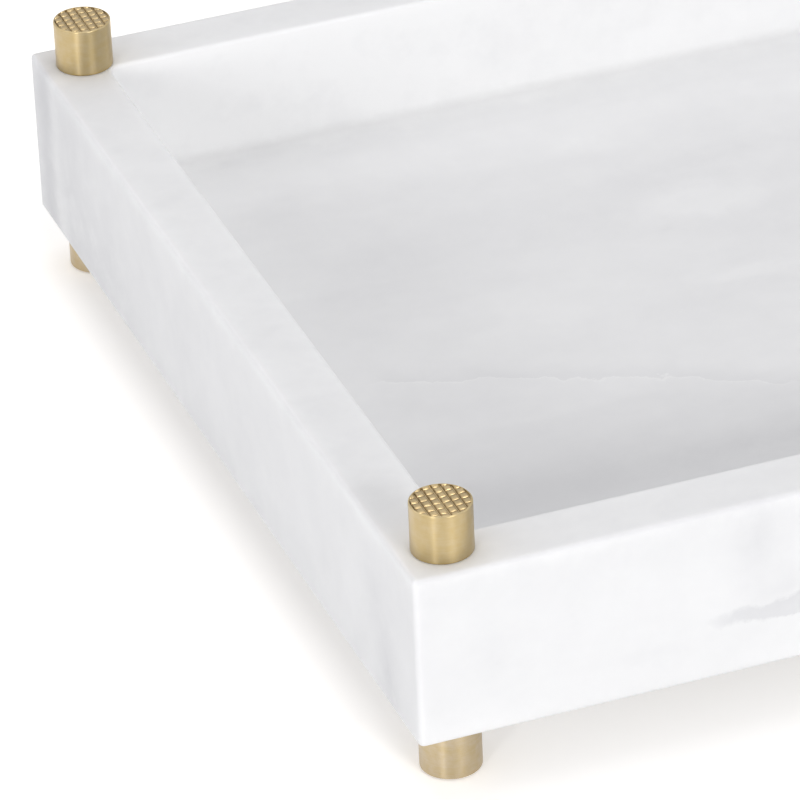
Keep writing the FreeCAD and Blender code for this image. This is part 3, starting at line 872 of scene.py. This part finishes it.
steel, tree, output = new_material("bright zinc plated steel")
in_mm = place_in_mm(tree)
zinc_clouds = add_node(tree, "ShaderNodeTexNoise",
                       {"Vector": in_mm, "Scale": 1 / 1.8, "Detail": 3.0})
steel_colour = add_node(tree, "ShaderNodeMix",
                        {"Factor": zinc_clouds, 6: linear("B4B8BE"), 7: linear("D3D6DA")},
                        data_type="RGBA")
steel_sheen = add_node(tree, "ShaderNodeMapRange",
                       {"Value": zinc_clouds, "To Min": 0.22, "To Max": 0.4})
steel_shader = add_node(tree, "ShaderNodeBsdfPrincipled",
                        {"Base Color": steel_colour.outputs[2], "Metallic": 1.0,
                         "Roughness": steel_sheen})
tree.links.new(steel_shader.outputs[0], output.inputs["Surface"])
print("small finishes:", rubber.name, fibre.name, steel.name)

# %% [markdown]
# ## Turning on the lathe
#
# Caps, feet, washers and pads are all turned or punched round, so each is drawn as
# half of its section and spun about the stud's axis. Every outer edge gets a small
# round, because a sharp edge on brass is broken with a file before it leaves the
# lathe, and it is that round which catches a thin line of light.

# %% Spin a section
LATHE_STEPS = 96
BRASS_EDGE = 0.3 * MM


def spin_section(section, steps=LATHE_STEPS):
    """Spin a list of radius and level about the vertical axis. Returns a bmesh."""
    mesh = bmesh.new()
    points = [mesh.verts.new((reach, 0, level)) for reach, level in section]
    edges = [mesh.edges.new(pair) for pair in zip(points, points[1:])]
    bmesh.ops.spin(mesh, geom=points + edges, cent=(0, 0, 0), axis=(0, 0, 1),
                   angle=math.tau, steps=steps, use_merge=True)
    bmesh.ops.remove_doubles(mesh, verts=mesh.verts, dist=0.001 * MM)
    return mesh


def place_at_corners(pattern, piece, node):
    """Put a copy of a finished mesh on each stud's axis, each replacing its CAD node."""
    for corner in CORNERS:
        side_x = -1 if corner.endswith("left") else 1
        side_y = -1 if corner.startswith("front") else 1
        data = pattern.data.copy()
        data.transform(Matrix.Translation((side_x * AXIS_X, side_y * AXIS_Y, 0)))
        made = bpy.data.objects.new(corner + "_" + piece, data)
        bpy.context.scene.collection.objects.link(made)
        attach(made, "root")
        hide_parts(corner + "_" + node)
    print(piece, "faces:", len(pattern.data.polygons))
    bpy.data.objects.remove(pattern)


# %% [markdown]
# ## The caps
#
# The side and the bore are spun. The end has two sets of straight grooves milled at
# right angles, which leave rows of small square pads, cut round where they meet the
# plain rim. Modelling forty pads by hand would be slow to change, so Geometry Nodes
# set one pad on a grid, tip each a hair because no cutter leaves them all alike, and
# keep what lies inside the end's circle.

# %% Turn the cap
CAP_TOP = CAP_HIGH.z
CAP_BOTTOM = CAP_LOW.z
BORE_RADIUS = STUD_RADIUS + 0.1 * MM
WASHER_RECESS = 6.15 * MM
WASHER_LEVEL = WASHER_HIGH.z
CAP_BORE_END = STUD_HIGH.z
GRIP_RADIUS = CAP_RADIUS - BRASS_EDGE - 0.1 * MM
GROOVE_LEVEL = CAP_TOP - GRIP_RELIEF

CAP_EDGE_CENTRE = CAP_RADIUS - BRASS_EDGE
cap_section = [(0, CAP_BORE_END), (BORE_RADIUS, CAP_BORE_END),
               (BORE_RADIUS, WASHER_LEVEL), (WASHER_RECESS, WASHER_LEVEL),
               (WASHER_RECESS, CAP_BOTTOM)]
cap_section += bend(CAP_EDGE_CENTRE, CAP_BOTTOM + BRASS_EDGE, BRASS_EDGE, 270, 90, 3)
cap_section += bend(CAP_EDGE_CENTRE, CAP_TOP - BRASS_EDGE, BRASS_EDGE, 0, 90, 4)
cap_section += [(GRIP_RADIUS, CAP_TOP), (GRIP_RADIUS, GROOVE_LEVEL), (0, GROOVE_LEVEL)]
cap = new_object("cap_pattern", spin_section(cap_section), [brass])
print("cap section points:", len(cap_section))

# %% Shape one grip pad
GRIP_ROOT = 0.1 * MM    # how far a grip pad reaches into the metal below the groove
GRIP_CORNER = 0.06 * MM
GRIP_RINGS = [          # half width, half depth and height of each ring, root to top
    (0.96 * MM, 1.02 * MM, -GRIP_ROOT), (0.94 * MM, 1.00 * MM, 0),
    (0.86 * MM, 0.86 * MM, 0.30 * MM), (0.83 * MM, 0.82 * MM, GRIP_RELIEF - 0.004 * MM),
    (0.4 * MM, 0.4 * MM, GRIP_RELIEF)]

grip_mesh = bmesh.new()
grip_rings = []
for half_x, half_y, level in GRIP_RINGS:
    arcs = corner_arcs(half_x, half_y, GRIP_CORNER, level, 2)
    grip_rings.append([grip_mesh.verts.new(point) for arc in arcs for point in arc])
skin_rings(grip_mesh, grip_rings)
grip_pad = new_object("grip_pad_form", grip_mesh, [brass])
print("faces in a pad:", len(grip_pad.data.polygons))

# %% Set the pads on a grid
GRIP_INPUTS = [("Turned Cap", "Geometry"), ("Pad Form", "Object"), ("Finish", "Material"),
               ("Pitch", "Float"), ("Columns", "Int"), ("Rows", "Int"),
               ("End Radius", "Float"), ("Groove Level", "Float"),
               ("Unevenness", "Float"), ("Seed", "Int")]
TRIM_DEPTH = 4 * MM     # of the trimming cylinder, taller than any pad

grip_tree = bpy.data.node_groups.new("waffle grip", "GeometryNodeTree")
grip_ids = {}
for name, kind in GRIP_INPUTS:
    socket = grip_tree.interface.new_socket(name, in_out="INPUT",
                                            socket_type="NodeSocket" + kind)
    grip_ids[name] = socket.identifier
grip_tree.interface.new_socket("Geometry", in_out="OUTPUT",
                               socket_type="NodeSocketGeometry")
given = add_node(grip_tree, "NodeGroupInput")
reach_x = add_node(grip_tree, "ShaderNodeMath",
                   {0: given.outputs["Columns"], 1: -1.0}, operation="ADD")
reach_y = add_node(grip_tree, "ShaderNodeMath",
                   {0: given.outputs["Rows"], 1: -1.0}, operation="ADD")
grid_x = add_node(grip_tree, "ShaderNodeMath",
                  {0: reach_x, 1: given.outputs["Pitch"]}, operation="MULTIPLY")
grid_y = add_node(grip_tree, "ShaderNodeMath",
                  {0: reach_y, 1: given.outputs["Pitch"]}, operation="MULTIPLY")
grid = add_node(grip_tree, "GeometryNodeMeshGrid",
                {"Size X": grid_x, "Size Y": grid_y,
                 "Vertices X": given.outputs["Columns"],
                 "Vertices Y": given.outputs["Rows"]})
pad_form = add_node(grip_tree, "GeometryNodeObjectInfo",
                    {"Object": given.outputs["Pad Form"]})
untilt = add_node(grip_tree, "ShaderNodeMath",
                  {0: given.outputs["Unevenness"], 1: -1.0}, operation="MULTIPLY")
low_tilt = add_node(grip_tree, "ShaderNodeCombineXYZ", {"X": untilt, "Y": untilt})
high_tilt = add_node(grip_tree, "ShaderNodeCombineXYZ",
                     {"X": given.outputs["Unevenness"], "Y": given.outputs["Unevenness"]})
tilt = add_node(grip_tree, "FunctionNodeRandomValue",
                {"Seed": given.outputs["Seed"]}, data_type="FLOAT_VECTOR")
grip_tree.links.new(low_tilt.outputs[0], tilt.inputs[0])
grip_tree.links.new(high_tilt.outputs[0], tilt.inputs[1])
pads = add_node(grip_tree, "GeometryNodeInstanceOnPoints",
                {"Points": grid.outputs["Mesh"], "Instance": pad_form.outputs["Geometry"],
                 "Rotation": tilt.outputs[0]})
real_pads = add_node(grip_tree, "GeometryNodeRealizeInstances", {0: pads})
trimmer = add_node(grip_tree, "GeometryNodeMeshCylinder",
                   {"Vertices": LATHE_STEPS, "Radius": given.outputs["End Radius"],
                    "Depth": TRIM_DEPTH})
trimmed = add_node(grip_tree, "GeometryNodeMeshBoolean", operation="INTERSECT",
                   solver="EXACT")
grip_tree.links.new(real_pads.outputs[0], trimmed.inputs["Mesh 2"])
grip_tree.links.new(trimmer.outputs[0], trimmed.inputs["Mesh 2"])
lift = add_node(grip_tree, "ShaderNodeCombineXYZ", {"Z": given.outputs["Groove Level"]})
raised = add_node(grip_tree, "GeometryNodeTransform",
                  {"Geometry": trimmed.outputs["Mesh"], "Translation": lift})
whole = add_node(grip_tree, "GeometryNodeJoinGeometry")
grip_tree.links.new(raised.outputs[0], whole.inputs[0])
grip_tree.links.new(given.outputs["Turned Cap"], whole.inputs[0])
real_cap = add_node(grip_tree, "GeometryNodeRealizeInstances", {0: whole})
finished = add_node(grip_tree, "GeometryNodeSetMaterial",
                    {"Geometry": real_cap, "Material": given.outputs["Finish"]})
add_node(grip_tree, "NodeGroupOutput", {0: finished})
print("nodes in the waffle tree:", len(grip_tree.nodes))

# %% Mill the waffle and place the caps
waffle = cap.modifiers.new("waffle", "NODES")
waffle.node_group = grip_tree
GRIP_VALUES = {
    "Pad Form": grip_pad, "Finish": brass, "Pitch": GRIP_PITCH, "Columns": 6, "Rows": 7,
    "End Radius": GRIP_RADIUS, "Groove Level": GROOVE_LEVEL,
    "Unevenness": math.radians(0.8), "Seed": 4,
}
for name, value in GRIP_VALUES.items():
    waffle[grip_ids[name]] = value
settle(cap)
bpy.data.objects.remove(grip_pad)
weigh_normals(cap)
place_at_corners(cap, "brass_cap", "cap")

# %% [markdown]
# ## The feet
#
# A foot is a longer turning: tapped from above for the stud, with a shallow recess
# for its fibre washer, and recessed from below for the rubber pad, which stands
# proud by half a millimetre so that no metal touches the table.

# %% Turn the feet
FOOT_TOP = FOOT_HIGH.z
FOOT_BOTTOM = FOOT_LOW.z
FOOT_BORE_END = STUD_LOW.z
FOOT_WASHER_LEVEL = FOOT_TOP - (WASHER_HIGH.z - WASHER_LOW.z)
PAD_RECESS = 6.15 * MM
PAD_TOP = PAD_HIGH.z
FOOT_EDGE_CENTRE = FOOT_RADIUS - BRASS_EDGE
foot_section = [(0, PAD_TOP), (PAD_RECESS, PAD_TOP), (PAD_RECESS, FOOT_BOTTOM)]
foot_section += bend(FOOT_EDGE_CENTRE, FOOT_BOTTOM + BRASS_EDGE, BRASS_EDGE, 270, 90, 3)
foot_section += bend(FOOT_EDGE_CENTRE, FOOT_TOP - BRASS_EDGE, BRASS_EDGE, 0, 90, 3)
foot_section += [(WASHER_RECESS, FOOT_TOP), (WASHER_RECESS, FOOT_WASHER_LEVEL),
                 (BORE_RADIUS, FOOT_WASHER_LEVEL), (BORE_RADIUS, FOOT_BORE_END),
                 (0, FOOT_BORE_END)]
foot = new_object("foot_pattern", spin_section(foot_section), [brass])
weigh_normals(foot)
place_at_corners(foot, "brass_foot", "foot")

# %% [markdown]
# ## Pads and washers
#
# The rubber pad is a moulded disc with a rounded rim and a shallow dish in its sole,
# which lets it grip a polished table. The washers are punched from fibre
# sheet, so their edges are crisp, with only a slight break.

# %% Mould the pads and punch the washers
PAD_RADIUS = (PAD_HIGH.x - PAD_LOW.x) / 2
PAD_BOTTOM = PAD_LOW.z
PAD_EDGE = 0.35 * MM
SOLE_DIP = 0.25 * MM
DIP_FLOOR = 0.62        # radii of the dish's floor and its edge, as shares of the pad's
DIP_EDGE = 0.70
pad_section = [(0, PAD_BOTTOM + SOLE_DIP), (PAD_RADIUS * DIP_FLOOR, PAD_BOTTOM + SOLE_DIP),
               (PAD_RADIUS * DIP_EDGE, PAD_BOTTOM)]
pad_section += bend(PAD_RADIUS - PAD_EDGE, PAD_BOTTOM + PAD_EDGE, PAD_EDGE, 270, 90, 4)
pad_section += [(PAD_RADIUS, PAD_TOP), (0, PAD_TOP)]
pad = new_object("pad_pattern", spin_section(pad_section), [rubber])
weigh_normals(pad)
place_at_corners(pad, "rubber_pad", "foot_pad")

WASHER_RADIUS = (WASHER_HIGH.x - WASHER_LOW.x) / 2
WASHER_HOLE = STUD_RADIUS + 0.15 * MM
WASHER_BREAK = 0.08 * MM
WASHER_STEPS = 64
for piece, node in [("cap_fibre_washer", "cap_washer"), ("foot_fibre_washer", "foot_washer")]:
    low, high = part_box("back_right_" + node)
    washer_section = [(WASHER_HOLE, low.z), (WASHER_RADIUS - WASHER_BREAK, low.z),
                      (WASHER_RADIUS, low.z + WASHER_BREAK),
                      (WASHER_RADIUS, high.z - WASHER_BREAK),
                      (WASHER_RADIUS - WASHER_BREAK, high.z), (WASHER_HOLE, high.z),
                      (WASHER_HOLE, low.z)]
    washer = new_object("washer_pattern", spin_section(washer_section, WASHER_STEPS),
                        [fibre])
    weigh_normals(washer)
    place_at_corners(washer, piece, node)

# %% [markdown]
# ## The threaded studs
#
# Each stud is a length of threaded rod. A thread is a radius that rises and falls
# with the height less a share of the turn, so that one turn climbs by one pitch. The
# rod is skinned from rings with that rule, and the thread fades out at the chamfer of
# each end. It is hidden when the tray is together, but it is what holds it together.

# %% Cut the threaded rod
THREAD_PITCH = 1.0 * MM
THREAD_DEPTH = 0.5 * MM
RINGS_PER_PITCH = 6
ROD_SIDES = 24
ROD_CHAMFER = 0.6 * MM
FLANK = 0.42            # a thread flank's share of the pitch


def rod_radius(level, turn):
    """The rod's radius at a height and a share of a turn."""
    phase = ((level - STUD_LOW.z) / THREAD_PITCH - turn) % 1.0
    groove = max(0.0, 1 - abs(phase - 0.5) / FLANK)
    from_end = min(level - STUD_LOW.z, STUD_HIGH.z - level)
    limit = STUD_RADIUS - max(0.0, ROD_CHAMFER - from_end)
    return min(limit, STUD_RADIUS - THREAD_DEPTH * groove)


rod_mesh = bmesh.new()
ring_count = round((STUD_HIGH.z - STUD_LOW.z) / THREAD_PITCH * RINGS_PER_PITCH)
rod_rings = []
for number in range(ring_count + 1):
    level = STUD_LOW.z + (STUD_HIGH.z - STUD_LOW.z) * number / ring_count
    ring = []
    for side_number in range(ROD_SIDES):
        share = side_number / ROD_SIDES
        reach = rod_radius(level, share)
        ring.append(rod_mesh.verts.new((reach * math.cos(math.tau * share),
                                        reach * math.sin(math.tau * share), level)))
    rod_rings.append(ring)
skin_rings(rod_mesh, rod_rings)
rod = new_object("rod_pattern", rod_mesh, [steel])
weigh_normals(rod, sharp_from=35)
place_at_corners(rod, "threaded_stud", "stud")
